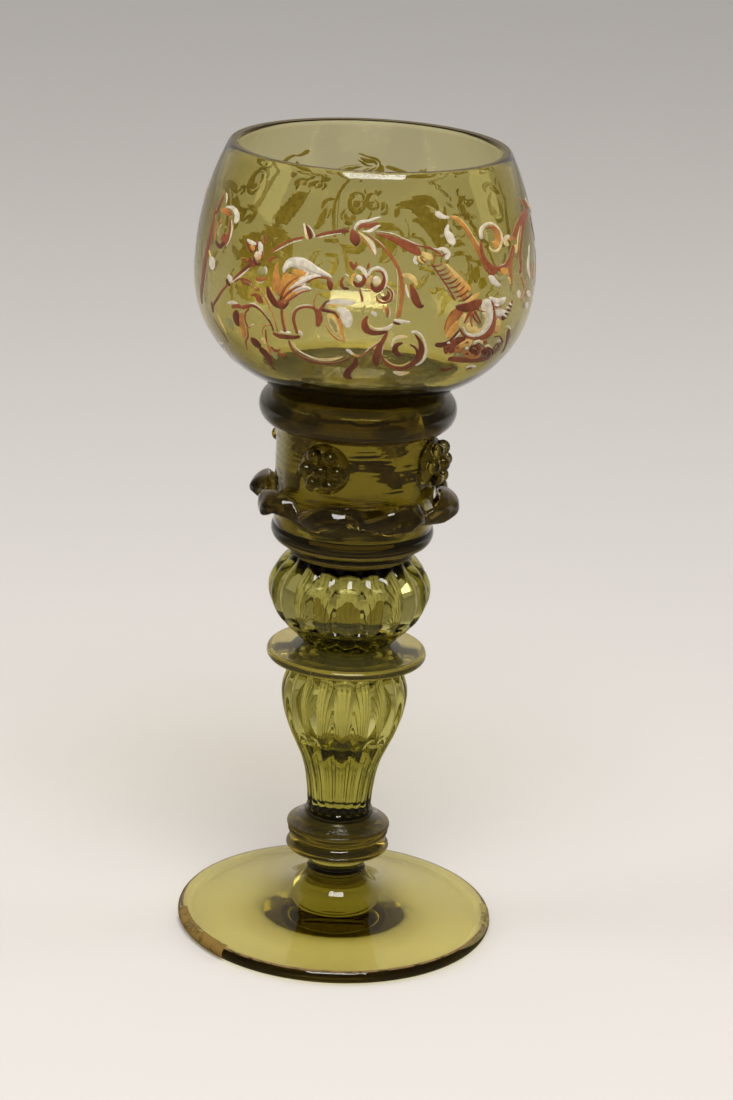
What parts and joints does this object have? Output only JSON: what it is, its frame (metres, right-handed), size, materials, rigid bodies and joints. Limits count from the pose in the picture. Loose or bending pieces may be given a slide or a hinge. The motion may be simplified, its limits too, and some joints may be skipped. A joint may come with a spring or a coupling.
{
  "type": "roemer goblet",
  "caption": "Footed drinking goblet in olive glass: rounded bowl over a prunted hollow cylinder, ribbed knop, flange, ribbed baluster stem and spreading foot.",
  "frame": {"origin": "centre of the plane that the foot rests on", "axes": "+Z along the goblet's axis, up through the bowl; -Y towards the side shown in the picture"},
  "size_m": [0.1018, 0.1018, 0.25],
  "materials": {
    "foot_glass": "polished, with worn gilding at the edge",
    "stem_glass": "polished, thick and dark",
    "ribbed_glass": "polished, mould-blown ribs",
    "cylinder_glass": "polished",
    "bowl_glass": "polished, with enamelled scrollwork and a worn gilt lip",
    "enamel": "opaque fired enamel in rust red, white and amber",
    "gilding": "thin fired gilding, worn"
  },
  "bodies": {
    "root": {"foot": "foot_glass", "stem_neck": "foot_glass", "lower_merese": "stem_glass", "upper_merese": "stem_glass", "baluster": "ribbed_glass", "middle_flange": "stem_glass", "ribbed_knop": "ribbed_glass", "capstan": "stem_glass", "cylinder_ring": "stem_glass", "prunted_cylinder": "cylinder_glass", "pinched_trail": "stem_glass", "prunt_1": "cylinder_glass", "prunt_2": "cylinder_glass", "prunt_3": "cylinder_glass", "prunt_4": "cylinder_glass", "bowl_collar": "stem_glass", "bowl": "bowl_glass"}
  },
  "joints": []
}
